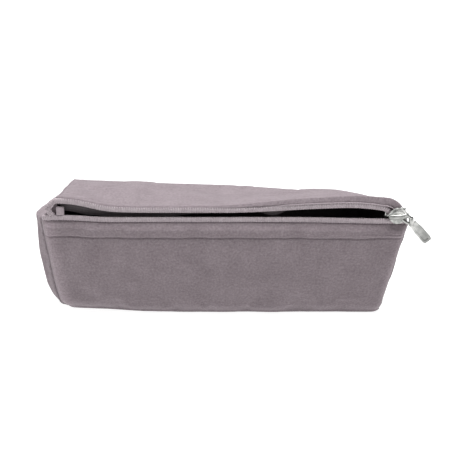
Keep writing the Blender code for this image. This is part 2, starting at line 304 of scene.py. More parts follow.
def metalMaterial(name, low, high, smooth, scratched, paintedShade=1.0):
    n = Nodes(name)
    place = n.objectPlace((1, 1, 1))
    cloud = n.add("TexNoise", in_Scale=240.0, in_Detail=2.0)
    n.join(place, "Vector", cloud, "Vector")
    brushPlace = n.objectPlace((600, 600, 5200))
    brush = n.add("TexNoise", in_Scale=1.0, in_Detail=4.0)
    n.join(brushPlace, "Vector", brush, "Vector")
    colour = n.ramp(cloud, "Fac", [(0.38, low), (0.62, high)])
    along = n.add("SeparateXYZ")
    n.join(place, "Vector", along, "Vector")
    # painted shade: along X the colour is scaled down to the given share
    fade = n.add("MapRange")
    fade.inputs["From Min"].default_value = paintedShadeRun["from"]
    fade.inputs["From Max"].default_value = paintedShadeRun["to"]
    fade.inputs["To Min"].default_value = 1.0
    fade.inputs["To Max"].default_value = paintedShade
    n.join(along, "X", fade, "Value")
    paintedLight = n.add("VectorMath", operation="SCALE")
    n.join(colour, "Color", paintedLight, "Vector")
    n.join(fade, "Result", paintedLight, "Scale")
    n.join(paintedLight, "Vector", n.shader, "Base Color")
    finish = n.add("MapRange")
    finish.inputs["To Min"].default_value = smooth
    finish.inputs["To Max"].default_value = scratched
    n.join(brush, "Fac", finish, "Value")
    n.join(finish, "Result", n.shader, "Roughness")
    relief = n.bump(brush, "Fac", 0.12, 0.00004)
    n.join(relief, "Normal", n.shader, "Normal")
    n.shader.inputs["Metallic"].default_value = 1.0
    return n.material


feltFinish = feltMaterial("brushedFelt")
# the front wall's felt carries a painted highlight down its two sides
frontFeltWithHighlight = feltMaterial("feltPaintedHighlight", feltLook["frontWidth"])

liningWeave = {"threads": 420.0, "depth": 0.0001, "roughness": 0.62, "sheen": 0.1}
tapeWeave = {"threads": 640.0, "depth": 0.0001, "roughness": 0.8, "sheen": 0.15}
# a paler copy of the lining weave, painted light on the fold seen through the mouth
paintedLitLining = wovenMaterial("liningWeavePaintedLight", (0.085, 0.073, 0.078), (0.15, 0.13, 0.139), **liningWeave)
liningFinish = wovenMaterial("liningWeave", (0.075, 0.064, 0.069), (0.135, 0.118, 0.126), **liningWeave)
tapeFinish = wovenMaterial("tapeWeave", (0.27, 0.228, 0.247), (0.42, 0.36, 0.385), **tapeWeave)

coilFinish = threadMaterial("coilRibs", (0.33, 0.282, 0.302), (0.405, 0.353, 0.375), gloss=0.60)
threadFinish = threadMaterial("sewingThread", (0.16, 0.13, 0.142), (0.25, 0.21, 0.226), gloss=0.7)

metalGloss = {  # roughness where it is smooth and where it is scratched
    "plate": (0.16, 0.36),
    "tab": (0.20, 0.38),
    "stop": (0.45, 0.65),
    "bail": (0.34, 0.50),
}
sliderFinish = metalMaterial("satinPlate", (0.27, 0.275, 0.265), (0.60, 0.60, 0.585), *metalGloss["plate"])
tabTones = ((0.33, 0.335, 0.325), (0.52, 0.52, 0.505))
# the tab is painted darker towards its hanging end, as painted shade
tabFinish = metalMaterial("tabPlate", *tabTones, *metalGloss["tab"], paintedShade=0.48)
stopFinish = metalMaterial("dullPlate", (0.25, 0.218, 0.232), (0.33, 0.29, 0.306), *metalGloss["stop"])
bailFinish = metalMaterial("dullBail", (0.29, 0.295, 0.285), (0.46, 0.46, 0.45), *metalGloss["bail"])
print("materials ready")


# Shape of the sewn body, in millimetres, hung on the frame's own boxes

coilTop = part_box("front_coil")[1].z / mm
joints = {joint["name"]: joint for joint in frame["joints"]}

pouch = {
    "belly": 2.6,  # how far the front wall swells forward at its middle
    "turn": 2.2,  # how far the front wall turns back at its two ends
    "hem": 7.0,  # depth of the folded hem, down to its stitching
    "felt": 0.9,
    "coilHeight": 3.3,
    "loopX": -85.1,  # the curl of the back tape at its left end
    "loopRadius": 4.5,
    "earPlace": 0.22,  # how far back the ear of the end wall stands out, as a share of the depth
    "earReach": 6.9,
    "depth": 45.0,
    "standsAt": 0.5,  # the walls' lowest edge
    "frontWide": 186,  # flat widths, from seam to seam
    "roofWide": 175,
    "backWide": 165,
    "baseDeep": 48,
}


def lerp(a, b, t):
    return a + (b - a) * t


def ease(a, b, x):
    t = min(1.0, max(0.0, (x - a) / (b - a)))
    return t * t * (3 - 2 * t)


def bell(x, centre, width):
    return math.exp(-((x - centre) / width) ** 2)


def inFrom(u, wide):  # how far in from the nearer side of a wall this wide
    return min(u, 1 - u) * wide


def frontCoilTop(x):
    return coilTop + 0.2 + 1.1 * ease(-58, -82, x) - 0.8 * ease(30, 84, x)


def frontFold(x):
    return frontCoilTop(x) - pouch["coilHeight"] - 0.7


def openGap(x):
    left = 4.2 / (1 + math.exp((x + 67.5) / 5.5))
    return 2.0 + left + 3.5 * ease(0, 76, x)


def mouthGap(x):  # how far the two rows of coil stand apart
    closing = 2.4 * min(1.0, max(0.0, (x - 62) / 24)) ** 2
    return (openGap(x) - closing) * (1 - ease(82, 90, x))


def backCoilBottom(x):
    return frontCoilTop(x) + mouthGap(x)


def lipBottom(x):  # lower edge of the roof's folded lip, along the top of the coil
    held = min(x, 82)
    return backCoilBottom(held) + pouch["coilHeight"] - 0.7 + 0.9 * ease(-20, 40, x) - 3.0 * ease(82, 91, x)


def lipTop(x):  # the crest of the lip
    held = min(x, 78)
    raised = 0.5 - 0.05 * ease(-20, 40, x) - 0.45 * ease(72, 84, x) + 0.55 * bell(x, 66, 11)
    raised -= 0.9 * ease(-79, -85, x)
    fall = 5.0 * min(1.0, max(0.0, (x - 80) / 11)) ** 3.2
    coil = frontCoilTop(held) + openGap(held) + pouch["coilHeight"]
    return coil - 0.1 + 2.6 * ease(-18, 45, x) + raised - fall


def creaseTop(x):
    return 59.3 - 0.042 * (x + 82) - 4.8 * ease(48, 88, x) - 1.1 * bell(x, 44, 15) + 0.6 * bell(x, 66, 9)


def frontLeft(z):
    return -83.2 - 10.2 * (max(z, 0.0) / 50) ** 0.55


def frontRight(z):
    return 82.8 + 11.4 * (max(z, 0.0) / 50) ** 1.1


def backLeft(z):
    return -83.5 + 1.5 * z / 59


def backRight(z):
    return 81.5 - 3.0 * z / 50


def roofLeft(y):
    t = max(y, 0) / pouch["depth"]
    return lerp(-84.6, -81.8, t) - 1.1 * math.sin(math.pi * t)


def roofRight(y):
    return lerp(91.0, 79.5, (max(y, 0) / pouch["depth"]) ** 0.7)


def bellyAt(x, z):  # how far the front wall stands forward
    across = max(0.0, 1 - (x / 92) ** 2)
    swell = math.sin(math.pi * min(1.0, max(0.0, z / 54))) ** 0.8
    tuckedLeft = 4.6 * ease(-30, -84, x) * ease(9, 0, z)  # the bottom edge draws back to the left corner
    return pouch["belly"] * across * swell - tuckedLeft - 2.2 * ease(6, 0, z)


def roofPoint(x, y):
    t = max(0.0, y) / pouch["depth"]
    sag = 0.7 * math.sin(math.pi * t) * max(0.0, 1 - (x / 90) ** 2)
    return lerp(lipTop(x), creaseTop(x), t) + sag


def ripple(x, y, scale, amount):
    return amount * noise.noise(Vector((x / scale, y / scale, 3.7)))


# Cloth pieces

def sheetMesh(name, grid):
    grid = np.asarray(grid, float)
    rows, columns = grid.shape[:2]
    index = np.arange(rows * columns).reshape(rows, columns)
    quads = np.stack([index[:-1, :-1], index[:-1, 1:], index[1:, 1:], index[1:, :-1]], -1).reshape(-1, 4)
    mesh = bpy.data.meshes.new(name)
    mesh.from_pydata((grid.reshape(-1, 3) * mm).tolist(), [], quads.tolist())
    across = np.linalg.norm(np.diff(grid, axis=1), axis=2).mean(axis=0)
    up = np.linalg.norm(np.diff(grid, axis=0), axis=2).mean(axis=1)
    u = np.concatenate([[0], np.cumsum(across)]) * mm
    v = np.concatenate([[0], np.cumsum(up)]) * mm
    places = np.stack([np.tile(u, rows), np.repeat(v, columns)], -1)
    layer = mesh.uv_layers.new(name="cut")
    loops = np.zeros(len(mesh.loops), int)
    mesh.loops.foreach_get("vertex_index", loops)
    layer.data.foreach_set("uv", places[loops].ravel().astype(np.float32))
    mesh.shade_smooth()
    obj = bpy.data.objects.new(name, mesh)
    scene.collection.objects.link(obj)
    return obj


def applyModifiers(obj):
    bpy.ops.object.select_all(action="DESELECT")
    obj.select_set(True)
    bpy.context.view_layer.objects.active = obj
    for modifier in list(obj.modifiers):
        bpy.ops.object.modifier_apply(modifier=modifier.name)


def thicken(obj, thickness):
    solid = obj.modifiers.new("thickness", "SOLIDIFY")
    solid.thickness = thickness * mm
    solid.offset = -1
    solid.use_quality_normals = True
    applyModifiers(obj)
    obj.data.shade_smooth()
    return obj


cloth = {"frames": 20, "pressure": 3.0, "slack": 0.006, "cap": 1.6, "columns": 46, "rows": 16}


def settle(name, surface):
    # a coarse copy of a wall, sewn down at its edges, swells a little as cloth does
    us = np.linspace(0, 1, cloth["columns"])
    vs = np.linspace(0, 1, cloth["rows"])
    start = np.array([[surface(u, v) for u in us] for v in vs])
    obj = sheetMesh(name + "Cloth", start)
    for vertex in obj.data.vertices:
        at = vertex.co / mm
        vertex.co += vertex.normal * ripple(at.x + at.y, at.z + at.y, 17.0, 0.5) * mm
    rim = [r * cloth["columns"] + c for r in range(cloth["rows"]) for c in range(cloth["columns"])
           if r in (0, cloth["rows"] - 1) or c in (0, cloth["columns"] - 1)]
    sewn = obj.vertex_groups.new(name="sewn")
    sewn.add(rim, 1.0, "REPLACE")
    modifier = obj.modifiers.new("cloth", "CLOTH")
    settings = modifier.settings
    settings.quality = 8
    settings.mass = 0.4
    settings.tension_stiffness = 40
    settings.compression_stiffness = 40
    settings.shear_stiffness = 20
    settings.bending_stiffness = 4
    settings.vertex_group_mass = "sewn"
    settings.shrink_min = -cloth["slack"]
    settings.use_pressure = True
    settings.uniform_pressure_force = cloth["pressure"]
    settings.effector_weights.gravity = 0
    modifier.point_cache.frame_start = 1
    modifier.point_cache.frame_end = cloth["frames"]
    for step in range(1, cloth["frames"] + 1):
        scene.frame_set(step)
    applyModifiers(obj)
    scene.frame_set(1)
    after = np.array([v.co for v in obj.data.vertices]).reshape(start.shape) / mm
    bpy.data.objects.remove(obj)
    move = after - start
    length = np.linalg.norm(move, axis=2, keepdims=True)
    move *= np.minimum(1.0, cloth["cap"] / np.maximum(length, 1e-6))

    def offset(u, v):
        c = min(max(u, 0), 1) * (cloth["columns"] - 1)
        r = min(max(v, 0), 1) * (cloth["rows"] - 1)
        c0, r0 = min(int(c), cloth["columns"] - 2), min(int(r), cloth["rows"] - 2)
        fc, fr = c - c0, r - r0
        fc, fr = fc * fc * (3 - 2 * fc), fr * fr * (3 - 2 * fr)
        low = move[r0, c0] * (1 - fc) + move[r0, c0 + 1] * fc
        high = move[r0 + 1, c0] * (1 - fc) + move[r0 + 1, c0 + 1] * fc
        return Vector(low * (1 - fr) + high * fr)
    return offset


def frontWeight(x):  # how much a point goes with the opening front
    u = min(1.0, max(0.0, (x + 86) / 166))
    return math.sin(math.pi * u) ** 1.2


def lidWeight(x):  # how much a point of the roof goes with the closing lid
    lipDrop = pouch["depth"] * math.sin(math.radians(2.8))
    return mouthGap(x) / lipDrop * ease(-93, -84, x)


def bendWith(obj, weight):
    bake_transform(obj)
    places = np.zeros(len(obj.data.vertices) * 3)
    obj.data.vertices.foreach_get("co", places)
    values = [weight(x) for x in places.reshape(-1, 3)[:, 0] / mm]


def sew(name, grid, thickness, finish, slotName, *nodes):  # a grid of places made a piece of cloth
    piece = thicken(sheetMesh(name, grid), thickness)
    piece.data.materials.append(finish)
    if nodes:
        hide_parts(*nodes)
    return piece


def sewWall(name, grid, finish, *nodes):
    wall = sew(name, grid, pouch["felt"], finish, "felt", *nodes)
    return wall


# Felt walls

def hemDepth(x):  # down from the fold to the stitching, which runs on straight where the coil rises
    return pouch["hem"] + 0.9 * ease(-58, -82, x)


def hemProfile(x, drop):  # how far the felt stands proud, by the distance below the fold
    proud = 1.75 * ease(-0.6, 2.9, drop) - 1.0 * ease(3.6, 8.5, drop)
    hem = hemDepth(x)
    ridge = 0.22 * bell(drop, hem - 1.4, 0.7)
    groove = 0.55 * bell(drop, hem, 0.45)
    tuck = 0.30 * bell(drop, hem - 2.3, 0.35) * ease(66, 76, x)
    return proud + ridge - groove - tuck


def frontSurface(u, v):
    z = lerp(pouch["standsAt"], frontFold(lerp(-93, 93, u)), v)
    x = lerp(frontLeft(z), frontRight(z), u)
    edge = inFrom(u, pouch["frontWide"])
    turned = pouch["turn"] * (1 - min(1.0, edge / 5.0)) ** 2
    return Vector((x, turned - bellyAt(x, z), z))


def frontWallGrid(offset):
    columns = 200
    heights = list(np.linspace(0, 0.80, 44)) + list(np.linspace(0.80, 1, 46))[1:]
    grid = []
    for v in heights:
        row = []
        for column in range(columns + 1):
            u = column / columns
            p = frontSurface(u, v) + offset(u, v)
            drop = (1 - v) * (frontFold(p.x) - pouch["standsAt"])
            seam = inFrom(u, pouch["frontWide"])
            p.y -= hemProfile(p.x, drop) * (0.35 + 0.65 * min(1.0, seam / 2.5))
            p.y += 0.15 * bell(seam, 4.2, 1.5) * ease(14, 30, p.z) * ease(53, 45, p.z)
            p.y += ripple(p.x, p.z, 5.0, 0.10) + ripple(p.x, p.z, 1.6, 0.05)
            p.y += 0.5 * bell(p.z, 1.8, 0.8)
            p.y -= 0.5 * bell(seam, 2.2, 1.3) * ease(8, 30, p.z)
            row.append(p)
        grid.append(row)
    top = grid[-1]
    for turn in np.linspace(0.25, 1, 6):  # the felt turns over its edge and down inside
        angle = math.pi * turn
        grid.append([p + Vector((0, 0.8 * (1 - math.cos(angle)), 0.75 * math.sin(angle))) for p in top])
    for down in (1.2, 2.6, 4.0):
        grid.append([p + Vector((-0.004 * down * p.x, 1.6 + 0.05 * down, -down)) for p in top])
    return grid


def makeFrontWall():
    grid = frontWallGrid(settle("frontWall", frontSurface))
    nodes = ("front_panel", "front_foam", "front_left_end", "front_right_end")
    wall = sewWall("frontWall", grid, frontFeltWithHighlight, *nodes)
    bendWith(wall, frontWeight)


def roofTopLine(side, s):  # the roof's left or right edge, s runs from the front to the back
    y = lerp(pouch["turn"], pouch["depth"], s)
    x = roofLeft(y) if side < 0 else roofRight(y)
    return Vector((x, y, roofPoint(x, y)))


def endSurface(side, s, v):  # s from the front ridge to the back corner, v from the floor to the roof
    top = roofTopLine(side, s)
    z = lerp(pouch["standsAt"], top.z, v)
    y = lerp(pouch["turn"] - bellyAt(side * 84, z) * ease(12, 0, z), pouch["depth"], s)
    if side < 0:
        corner, back = frontLeft(min(z, 52)), backLeft(z)
        reach = pouch["earReach"]
    else:
        corner, back = frontRight(min(z, 52)), backRight(z)
        reach = 1.0
    peak = pouch["earPlace"]
    if s < peak:
        swell = math.sin(math.pi / 2 * s / peak)
    else:
        swell = math.cos(math.pi / 2 * (s - peak) / (1 - peak)) ** 1.6
    ear = reach * swell * min(1.0, z / 14) ** 0.4 * (1 - 0.24 * ease(30, 52, z))
    x = lerp(corner, back, ease(0.0, 1.0, s)) + side * ear
    earTop = 54.3 if side < 0 else 44
    if z > earTop:  # above the ear the wall leans in to the roof's edge
        q = min(1.0, (z - earTop) / max(1.0, top.z - earTop))
        lean = 1.5 if side < 0 else 0.9
        x = top.x + (x - top.x) * (1 - q ** 1.1) ** lean
    return Vector((x, y, z))


def makeEndWall(side, name, nodes):
    def surface(u, v):
        s = u if side > 0 else 1 - u
        return endSurface(side, s, v)
    offset = settle(name, surface)
    grid = []
    for v in np.linspace(0, 1, 70):
        row = []
        for column in range(61):
            u = column / 60
            p = surface(u, v) + offset(u, v)
            s = u if side > 0 else 1 - u
            push = 0.4 * bell(s, 0.02, 0.03) - 0.25 * bell(s, 0.09, 0.03)
            p.x += side * (push * ease(2, 12, p.z) + ripple(p.y, p.z, 5.0, 0.14))
            p.x -= side * 0.5 * bell(p.z, 1.8, 0.8)
            row.append(p)
        if side < 0:  # the seam allowance turns in behind the curl of the tape
            edge = row[-1]
            turnIn = 5.0 * ease(47, 51, edge.z) * ease(63, 58, edge.z)
            for share in (0.3, 0.65, 1.0):
                row.append(edge + Vector((share * turnIn, 0.35 * math.sin(math.pi * share), 0)))
        grid.append(row)
    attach(sewWall(name, grid, feltFinish, *nodes), "pouch")


def backSurface(u, v):  # seen from behind, u runs from right to left
    level = lerp(pouch["standsAt"], 54.0, v)
    x = lerp(backRight(level), backLeft(level), u)
    z = lerp(pouch["standsAt"], creaseTop(x) - 0.4, v)
    swell = 1.6 * math.sin(math.pi * v) * math.sin(math.pi * u)
    return Vector((x, pouch["depth"] + 0.4 + swell, z))


def makeBackWall():
    offset = settle("backWall", backSurface)
    grid = []
    for v in np.linspace(0, 1, 70):
        row = []
        for column in range(171):
            u = column / 170
            p = backSurface(u, v) + offset(u, v)
            edge = inFrom(u, pouch["backWide"])
            p.y += 0.35 * bell(edge, 1.2, 1.2) - 0.3 * bell(edge, 3.4, 1.0) - 0.4 * (1 - min(1, edge / 2.0))
            p.y -= 0.5 * bell(p.z, 1.8, 0.8)
            p.y += ripple(p.x, p.z + 80, 5.0, 0.12)
            row.append(p)
        grid.append(row)
    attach(sewWall("backWall", grid, feltFinish, "back_panel", "back_foam"), "pouch")


def roofSurface(u, v):
    y = lerp(0.0, pouch["depth"], v)
    x = lerp(roofLeft(y), roofRight(y), u)
    return Vector((x, y, roofPoint(x, y)))


def makeRoofWall():
    offset = settle("roofWall", roofSurface)
    columns = 190
    grid = []
    # the lip: up from its folded edge along the coil, round its crest, and on to the roof
    for rise in (-0.6, 0.0, 0.2, 0.4, 0.6, 0.8, 0.93):
        row = []
        for column in range(columns + 1):
            u = column / columns
            x = lerp(roofLeft(0), roofRight(0), u)
            low, top = lipBottom(x), lipTop(x)
            inner = rise < 0
            z = lerp(low, top, max(0.0, rise)) + (0.5 if inner else 0.0)
            flat = lerp(-0.30, 0.40, rise)
            tall = lerp(-0.30, 1.30, rise) - 0.15 * math.sin(math.pi * rise)
            y = 1.1 if inner else lerp(flat, tall, ease(-20, 40, x))
            row.append(Vector((x, y, z)))
        grid.append(row)
    for v in [0.032, 0.045] + list(np.linspace(0.065, 1, 58)):
        row = []
        for column in range(columns + 1):
            u = column / columns
            p = roofSurface(u, v) + offset(u, v) * ease(0.0, 0.1, v)
            crest = 0.16 * bell(p.y, 3.4, 1.6) * ease(-20, 40, p.x)
            p.z += ripple(p.x, p.y + 30, 5.0, 0.12) - crest
            p.z -= 1.4 * ease(0.955, 1.0, v) ** 2
            edge = inFrom(u, pouch["roofWide"])
            p.z -= 0.9 * (1 - min(1.0, edge / 1.6)) ** 2 + 0.25 * bell(edge, 4.0, 1.2) * ease(0.02, 0.1, v)
            row.append(p)
        grid.append(row)
    last = grid[-1]
    grid.append([p + Vector((0, 0.9, -1.0)) for p in last])
    grid.append([p + Vector((0, 1.1, -2.2)) for p in last])
    wall = sewWall("roofWall", grid, feltFinish, "roof_panel", "roof_foam")
    bendWith(wall, lidWeight)


def makeBaseWall():
    columns, rows = 150, 40
    grid = []
    for row in range(rows + 1):
        v = row / rows  # from the back to the front
        line = []
        for column in range(columns + 1):
            u = column / columns
            left, right = endSurface(-1, 1 - v, 0.0), endSurface(1, 1 - v, 0.0)
            x = lerp(left.x, right.x, u)
            y = lerp(pouch["depth"] + 0.4, frontSurface(u, 0).y, v)
            edge = min(inFrom(u, pouch["backWide"]), inFrom(v, pouch["baseDeep"]))
            rolled = 0.75 * (1 - min(1.0, edge / 2.4)) ** 2
            z = rolled + 0.25 * bell(edge, 4.0, 1.4) + 0.1 + abs(ripple(x, y, 12, 0.1))
            line.append(Vector((x, y, z)))
        grid.append(line)
    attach(sewWall("baseWall", grid, feltFinish, "base_panel", "base_foam"), "pouch")


makeFrontWall()
print("front wall sewn")
makeEndWall(-1, "leftEnd", ("left_gusset_panel", "left_gusset_foam"))
makeEndWall(1, "rightEnd", ("right_gusset_panel", "right_gusset_foam"))
makeBackWall()
makeRoofWall()
makeBaseWall()
print("walls sewn")

# Linings

lining = {"clear": 3.1, "thickness": 0.35}


def sewLining(name, grid, *nodes):
    return sew(name, grid, lining["thickness"], liningFinish, "lining", *nodes)


def makeFrontLining():  # sewn in under the hem
    grid = []
    for v in np.linspace(0.06, 0.94, 26):
        row = []
        for u in np.linspace(0.012, 0.988, 90):
            p = frontSurface(u, v)
            row.append(p + Vector((0, lining["clear"] - 0.5 + ripple(p.x, p.z, 9.0, 0.5), 0)))
        grid.append(row[::-1])
    front = sewLining("frontLining", grid, "front_lining")
    bendWith(front, frontWeight)


def makeRoofLining():
    grid = []
    for v in np.linspace(0.05, 0.94, 24):
        row = []
        for u in np.linspace(0.02, 0.98, 90):
            p = roofSurface(u, v)
            row.append(p - Vector((0, 0, lining["clear"] - 0.3 + ripple(p.x, p.y, 9.0, 0.5))))
        grid.append(row[::-1])
    roof = sewLining("roofLining", grid, "roof_lining")
    bendWith(roof, lidWeight)


def makeBagLining():  # one strip round the left end, the back and the right end
    clear = lining["clear"]

    def around(t):
        if t < 0.2:
            return "left", t / 0.2
        if t < 0.8:
            return "back", (t - 0.2) / 0.6
        return "right", (t - 0.8) / 0.2
    grid = []
    for v in np.linspace(0.07, 0.90, 26):
        row = []
        for t in np.linspace(0, 1, 150):
            part, s = around(t)
            if part == "left":
                p = endSurface(-1, lerp(0.06, 0.93, s), v) + Vector((clear, 0, 0))
            elif part == "back":
                p = backSurface(1 - lerp(0.025, 0.975, s), v) - Vector((0, clear, 0))
            else:
                p = endSurface(1, lerp(0.93, 0.06, s), v) - Vector((clear, 0, 0))
            p.y += ripple(p.x, p.z, 9.0, 0.4)
            row.append(p)
        grid.append(row)
    bag = sewLining("bagLining", grid, "back_lining", "left_gusset_lining", "right_gusset_lining")
    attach(bag, "pouch")


def makeBaseLining():
    grid = []
    for v in np.linspace(0.08, 0.94, 22):
        row = []
        for u in np.linspace(0.02, 0.98, 90):
            y = lerp(0.5, pouch["depth"], v)
            z = lining["clear"] + 0.3 + ripple(u * 164, y, 11.0, 0.4)
            row.append(Vector((lerp(-83, 81, u), y, z)))
        grid.append(row)
    base = sewLining("baseLining", grid, "base_lining")
    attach(base, "pouch")


def makeLiningFold():  # a loose fold of the roof's lining, seen through the mouth
    xs = np.linspace(-84.5, 74, 220)
    grid = []
    for y in np.linspace(14.5, 6.0, 8):  # sewn flat under the roof's lining first
        grid.append([Vector((max(x, -82.5), y, roofPoint(x, y) - lining["clear"] - 0.7)) for x in xs])
    for v in np.linspace(0, 1, 16):
        row = []
        for x in xs:
            top = roofPoint(x, 5.0) - lining["clear"] - 0.6
            low = 57.6 - 2.4 * ease(-82, -68, x) - 3.0 * ease(-68, -50, x)
            hang = lerp(max(1.2, top - low), 1.2 + 3.6 * bell(x, 26, 7), ease(-45, -5, x))
            wave = 0.9 * math.sin(x / 4.1) * v * ease(-60, -20, x) + 0.6 * math.sin(x / 9.0)
            row.append(Vector((x, 5.2 + wave - 1.8 * bell(x, 26, 8) * v, top - hang * v)))
        grid.append(row)
    # the fold takes the paler copy of the lining weave, painted light
    fold = sew("liningFold", grid, lining["thickness"], paintedLitLining, "lining")
    bendWith(fold, lidWeight)


makeFrontLining()
makeRoofLining()
makeBagLining()
makeBaseLining()
makeLiningFold()
print("linings sewn in")


# The zip: two rows of coil, their tapes, stops and ends

zipper = {
    "pitch": 1.25,
    "depth": 1.9,
    "wire": 0.44,
    "cord": 0.20,  # how much fuller the cord is than the middle of the loops
    "sides": 5,
    "around": 10,
    "cordSides": 10,
    "cordStep": 0.9,
    "lean": 0.24,  # each loop leans along the row by this share of the pitch
    "coilY": 0.25,
    "tape": 0.45,  # thickness
    "backTape": 0.4,
    "frontStart": -92.6,
    "rowEnd": 93.2,
}


def alongCurve(points, step):  # evenly spaced stations, with the way the curve runs at each
    points = [Vector(p) for p in points]
    lengths = [0.0]
    for a, b in zip(points, points[1:]):
        lengths.append(lengths[-1] + (b - a).length)
    count = int(lengths[-1] / step)
    stations = []
    index = 0
    for k in range(count + 1):
        at = k * lengths[-1] / count
        while index < len(points) - 2 and lengths[index + 1] < at:
            index += 1
        a, b = points[index], points[index + 1]
        t = (at - lengths[index]) / max(1e-9, lengths[index + 1] - lengths[index])
        stations.append((a.lerp(b, min(1.0, t)), (b - a).normalized()))
    return stations


def frontCoilPath():
    half = pouch["coilHeight"] / 2
    xs = np.linspace(zipper["frontStart"], zipper["rowEnd"], 260)
    path = []
    for x in xs:
        tucked = ease(-90, -95, x)  # the row's left end turns back and down
        path.append((x, zipper["coilY"] + 1.2 * tucked, frontCoilTop(x) - half - 0.5 * tucked))
    return path


def backCoilPath():
    half = pouch["coilHeight"] / 2
    xs = np.linspace(zipper["rowEnd"] - 2.0, pouch["loopX"], 260)
    path = [(x, zipper["coilY"], backCoilBottom(x) + half - 1.1 * (1 - ease(89, 80, x))) for x in xs]
    last = Vector(path[-1])
    radius = pouch["loopRadius"]
    centre = last - Vector((0, 0, radius))
    for degrees in range(96, 226, 6):
        angle = math.radians(degrees)
        path.append(centre + radius * Vector((math.cos(angle), 0.0, math.sin(angle))))
    end = path[-1]
    path.append(end + Vector((0.9, 0.4, -0.9)))
    return path


def oval(centre, along, height, depth, angle, shift=0.0):
    side = Vector((0, 1, 0))
    up = side.cross(along).normalized() if abs(along.y) < 0.9 else Vector((0, 0, 1))
    return centre + up * (math.sin(angle) * height) + side * (math.cos(angle) * depth) + along * shift


def coilRow(name, path):
    verts, faces = [], []
    around, sides = zipper["around"], zipper["sides"]
    high = pouch["coilHeight"] / 2 - zipper["wire"]
    deep = zipper["depth"] / 2 - zipper["wire"]
    for centre, along in alongCurve(path, zipper["pitch"]):
        first = len(verts)
        for k in range(around):
            angle = 2 * math.pi * k / around
            lean = zipper["lean"] * zipper["pitch"] * math.cos(angle)
            middle = oval(centre, along, high, deep, angle, lean)
            outward = oval(Vector((0, 0, 0)), along, deep, high, angle).normalized()
            for s in range(sides):
                turn = 2 * math.pi * s / sides
                spoke = outward * math.cos(turn) + along * math.sin(turn) * 1.25
                verts.append(middle + spoke * zipper["wire"])
        for k in range(around):
            for s in range(sides):
                a = first + k * sides + s
                b = first + k * sides + (s + 1) % sides
                c = first + ((k + 1) % around) * sides + (s + 1) % sides
                d = first + ((k + 1) % around) * sides + s
                faces.append((a, b, c, d))
    # the cord inside the loops
    stations = alongCurve(path, zipper["cordStep"])
    cordSides = zipper["cordSides"]
    first = len(verts)
    for centre, along in stations:
        for k in range(cordSides):
            angle = 2 * math.pi * k / cordSides
            verts.append(oval(centre, along, high + zipper["cord"], deep + zipper["cord"], angle))
    for k in range(len(stations) - 1):
        for s in range(cordSides):
            a = first + k * cordSides
            b = a + cordSides
            t = (s + 1) % cordSides
            faces.append((a + s, a + t, b + t, b + s))
    faces.append(tuple(first + s for s in reversed(range(cordSides))))
    last = first + (len(stations) - 1) * cordSides
    faces.append(tuple(last + s for s in range(cordSides)))
    mesh = bpy.data.meshes.new(name)
    mesh.from_pydata([v * mm for v in verts], [], faces)
    bm = bmesh.new()
    bm.from_mesh(mesh)
    bmesh.ops.recalc_face_normals(bm, faces=bm.faces)
    bm.to_mesh(mesh)
    bm.free()
    mesh.shade_smooth()
    obj = bpy.data.objects.new(name, mesh)
    scene.collection.objects.link(obj)
    mesh.materials.append(coilFinish)
    return obj


def makeCoils():
    front = coilRow("frontCoil", frontCoilPath())
    bendWith(front, frontWeight)
    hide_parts("front_coil", "front_coil_left", "front_coil_right")
    back = coilRow("backCoil", backCoilPath())
    bendWith(back, lidWeight)
    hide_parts("back_coil")


def makeFrontTape():  # flat behind the coil, down inside the front wall
    grid = []
    xs = np.linspace(zipper["frontStart"] + 1, zipper["rowEnd"], 200)
    for down, y in ((0.9, 1.45), (2.0, 1.5), (3.3, 1.55), (4.4, 2.1), (6.0, 2.3), (8.5, 2.35), (11.0, 2.35)):
        grid.append([Vector((x, y, frontCoilTop(x) - down)) for x in xs])
    nodes = ("front_tape", "front_tape_left", "front_tape_right")
    tape = sew("frontTape", grid[::-1], zipper["tape"], tapeFinish, "zip_tape", *nodes)
    bendWith(tape, frontWeight)


def makeBackTape():  # its edge shows as a pale line between the coil and the roof's lip
    behindCoil = ((0.9, 1.5, 0), (2.0, 1.5, 0), (2.6, 1.2, 0), (2.8, 0.2, 0))
    shownEdge = ((2.9, -0.45, 0.05), (3.2, -0.62, 0.05), (3.5, -0.45, 0.05))
    underRoof = ((3.5, 0.9, 0.3), (1.9, 2.0, 0.8), (1.6, 4.0, 0.6), (1.2, 7.2, 0.4))
    grid = []
    xs = np.linspace(-87.0, 92.6, 200)
    for up, y, lift in behindCoil + shownEdge + underRoof:
        row = []
        for x in xs:
            shown = ease(-20, 40, x)
            height = lerp(min(up, 1.9), up + lift, shown) - 3.0 * ease(82, 91, x) - 1.2 * ease(-80, -86, x)
            row.append(Vector((x, lerp(max(y, 1.45), y, shown), backCoilBottom(min(x, 82)) + height)))
        grid.append(row)
    tape = sew("backTape", grid, zipper["backTape"], tapeFinish, "zip_tape", "back_tape")
    bendWith(tape, lidWeight)


foldedEnd = {"left": -85.7, "right": -81.8, "low": 57.3, "high": 61.7, "turn": 0.8, "thickness": 0.5}


def makeFoldedEnd():  # the spare end of the tape, folded over inside the left end of the mouth
    low, turn = foldedEnd["low"], foldedEnd["turn"]
    high = foldedEnd["high"] - turn
    profile = []
    for k in range(5):
        profile.append((-0.30 - 0.12 * math.sin(k / 4 * math.pi), lerp(low, high, k / 4)))
    for k in range(1, 9):
        angle = math.pi * k / 8
        profile.append((0.55 - 0.85 * math.cos(angle), high + turn * math.sin(angle)))
    for k in range(1, 5):
        profile.append((1.4, lerp(high, low, k / 4)))
    grid = []
    for y, z in profile:
        row = []
        for u in np.linspace(0, 1, 22):
            x = lerp(foldedEnd["left"], foldedEnd["right"], u)
            row.append(Vector((x, y + 0.15 * math.cos(2 * math.pi * u), z - 0.35 * (2 * u - 1) ** 4)))
        grid.append(row)
    end = sew("foldedTapeEnd", grid, foldedEnd["thickness"], tapeFinish, "zip_tape", "left_tape_end")
    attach(end, "pouch")


